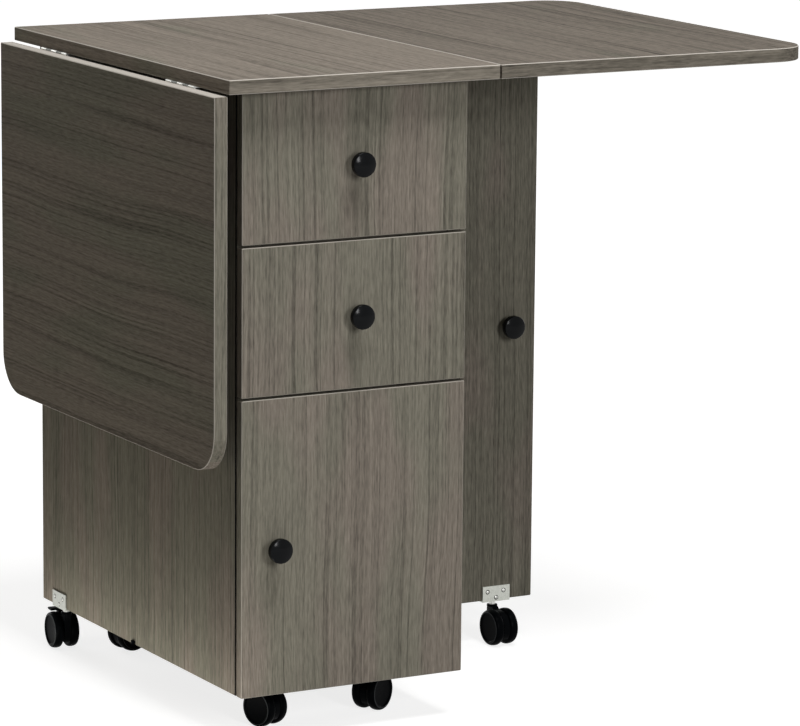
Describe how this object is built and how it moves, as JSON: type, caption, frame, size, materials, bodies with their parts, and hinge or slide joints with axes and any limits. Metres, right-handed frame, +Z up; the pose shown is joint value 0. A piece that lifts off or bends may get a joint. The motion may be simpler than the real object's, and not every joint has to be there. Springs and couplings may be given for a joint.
{
  "type": "folding dining table",
  "caption": "Rolling drop-leaf dining table: a narrow cabinet with drawers and a cupboard, hinged leaves with rounded corners, swing-out gate panels and swivel castors.",
  "frame": {"origin": "on the floor, under the middle of the table's bounding box with the left leaf hanging and the right leaf raised", "axes": "+X to the right when facing the drawers, +Y to the rear, +Z up"},
  "size_m": [0.7738, 0.568, 0.75],
  "materials": {
    "wood": "satin grey-brown wood-grain laminate",
    "steel": "bright zinc plate",
    "black": "satin black moulding"
  },
  "bodies": {
    "table": {"centre_top": "wood", "left_inner_side": "wood", "right_inner_side": "wood", "left_outer_side": "wood", "right_outer_side": "wood", "base_panel": "wood", "back_panel": "wood", "drawer_panel": "wood", "cupboard_roof": "wood", "left_front_hinge_top_half": "steel", "left_rear_hinge_top_half": "steel", "right_front_hinge_top_half": "steel", "right_rear_hinge_top_half": "steel", "door_hinge_fixed_half": "steel", "left_gate_pivot_base": "steel", "right_gate_pivot_base": "steel"},
    "left_leaf": {"left_leaf": "wood", "left_front_hinge_leaf_half": "steel", "left_rear_hinge_leaf_half": "steel"},
    "right_leaf": {"right_leaf": "wood", "right_front_hinge_leaf_half": "steel", "right_rear_hinge_leaf_half": "steel"},
    "left_gate": {"left_gate": "wood", "left_gate_top_pivot": "steel", "left_gate_foot_pivot": "steel", "left_gate_knob": "black", "left_castor_bracket": "steel"},
    "right_gate": {"right_gate": "wood", "right_gate_top_pivot": "steel", "right_gate_foot_pivot": "steel", "right_gate_knob": "black", "right_castor_bracket": "steel"},
    "upper_drawer": {"upper_drawer_front": "wood", "upper_drawer_left_side": "wood", "upper_drawer_right_side": "wood", "upper_drawer_back": "wood", "upper_drawer_floor": "wood", "upper_drawer_knob": "black"},
    "lower_drawer": {"lower_drawer_front": "wood", "lower_drawer_left_side": "wood", "lower_drawer_right_side": "wood", "lower_drawer_back": "wood", "lower_drawer_floor": "wood", "lower_drawer_knob": "black"},
    "door": {"cupboard_door": "wood", "door_knob": "black", "door_hinge_door_half": "steel"},
    "front_left_castor": {"front_left_castor_hood": "black"},
    "front_left_wheels": {"front_left_castor_wheels": "black"},
    "front_right_castor": {"front_right_castor_hood": "black"},
    "front_right_wheels": {"front_right_castor_wheels": "black"},
    "rear_left_castor": {"rear_left_castor_hood": "black"},
    "rear_left_wheels": {"rear_left_castor_wheels": "black"},
    "rear_right_castor": {"rear_right_castor_hood": "black"},
    "rear_right_wheels": {"rear_right_castor_wheels": "black"},
    "left_gate_castor": {"left_gate_castor_hood": "black"},
    "left_gate_wheels": {"left_gate_castor_wheels": "black"},
    "right_gate_castor": {"right_gate_castor_hood": "black"},
    "right_gate_wheels": {"right_gate_castor_wheels": "black"}
  },
  "joints": [
    {"name": "left_leaf_fold", "type": "hinge", "parent": "table", "child": "left_leaf", "pos_m": [-0.3701, 0, 0.7332], "axis": [0, 1, 0], "range_deg": [0, 90]},
    {"name": "right_leaf_lift", "type": "hinge", "parent": "table", "child": "right_leaf", "pos_m": [-0.0311, 0, 0.7332], "axis": [0, -1, 0], "range_deg": [0, 5]},
    {"name": "left_gate_swing", "type": "hinge", "parent": "table", "child": "left_gate", "pos_m": [-0.3411, 0.0177, 0], "axis": [0, 0, 1], "range_deg": [0, 1.2]},
    {"name": "right_gate_swing", "type": "hinge", "parent": "table", "child": "right_gate", "pos_m": [-0.0601, 0.0177, 0], "axis": [0, 0, 1], "range_deg": [0, 90]},
    {"name": "upper_drawer_slide", "type": "slide", "parent": "table", "child": "upper_drawer", "axis": [0, -1, 0], "range_m": [0, 0.3]},
    {"name": "lower_drawer_slide", "type": "slide", "parent": "table", "child": "lower_drawer", "axis": [0, -1, 0], "range_m": [0, 0.3]},
    {"name": "door_swing", "type": "hinge", "parent": "table", "child": "door", "pos_m": [-0.0581, -0.24665, 0], "axis": [0, 0, 1], "range_deg": [0, 100]},
    {"name": "front_left_swivel", "type": "hinge", "parent": "table", "child": "front_left_castor", "pos_m": [-0.2811, -0.176, 0], "axis": [0, 0, 1], "continuous": true},
    {"name": "front_left_roll", "type": "hinge", "parent": "front_left_castor", "child": "front_left_wheels", "pos_m": [-0.27589, -0.19113, 0.022], "axis": [0.9455, 0.3256, 0], "continuous": true},
    {"name": "front_right_swivel", "type": "hinge", "parent": "table", "child": "front_right_castor", "pos_m": [-0.1201, -0.176, 0], "axis": [0, 0, 1], "continuous": true},
    {"name": "front_right_roll", "type": "hinge", "parent": "front_right_castor", "child": "front_right_wheels", "pos_m": [-0.13409, -0.18376, 0.022], "axis": [0.4848, -0.8746, 0], "continuous": true},
    {"name": "rear_left_swivel", "type": "hinge", "parent": "table", "child": "rear_left_castor", "pos_m": [-0.2811, 0.189, 0], "axis": [0, 0, 1], "continuous": true},
    {"name": "rear_left_roll", "type": "hinge", "parent": "rear_left_castor", "child": "rear_left_wheels", "pos_m": [-0.26534, 0.19178, 0.022], "axis": [-0.1736, 0.9848, 0], "continuous": true},
    {"name": "rear_right_swivel", "type": "hinge", "parent": "table", "child": "rear_right_castor", "pos_m": [-0.1201, 0.189, 0], "axis": [0, 0, 1], "continuous": true},
    {"name": "rear_right_roll", "type": "hinge", "parent": "rear_right_castor", "child": "rear_right_wheels", "pos_m": [-0.11463, 0.17396, 0.022], "axis": [0.9397, 0.342, 0], "continuous": true},
    {"name": "left_gate_castor_swivel", "type": "hinge", "parent": "left_gate", "child": "left_gate_castor", "pos_m": [-0.3331, 0.223, 0], "axis": [0, 0, 1], "continuous": true},
    {"name": "left_gate_castor_roll", "type": "hinge", "parent": "left_gate_castor", "child": "left_gate_wheels", "pos_m": [-0.33198, 0.23896, 0.022], "axis": [-0.9976, 0.0698, 0], "continuous": true},
    {"name": "right_gate_castor_swivel", "type": "hinge", "parent": "right_gate", "child": "right_gate_castor", "pos_m": [0.1452, 0.0257, 0], "axis": [0, 0, 1], "continuous": true},
    {"name": "right_gate_castor_roll", "type": "hinge", "parent": "right_gate_castor", "child": "right_gate_wheels", "pos_m": [0.14576, 0.00971, 0.022], "axis": [0.9994, 0.0349, 0], "continuous": true}
  ]
}
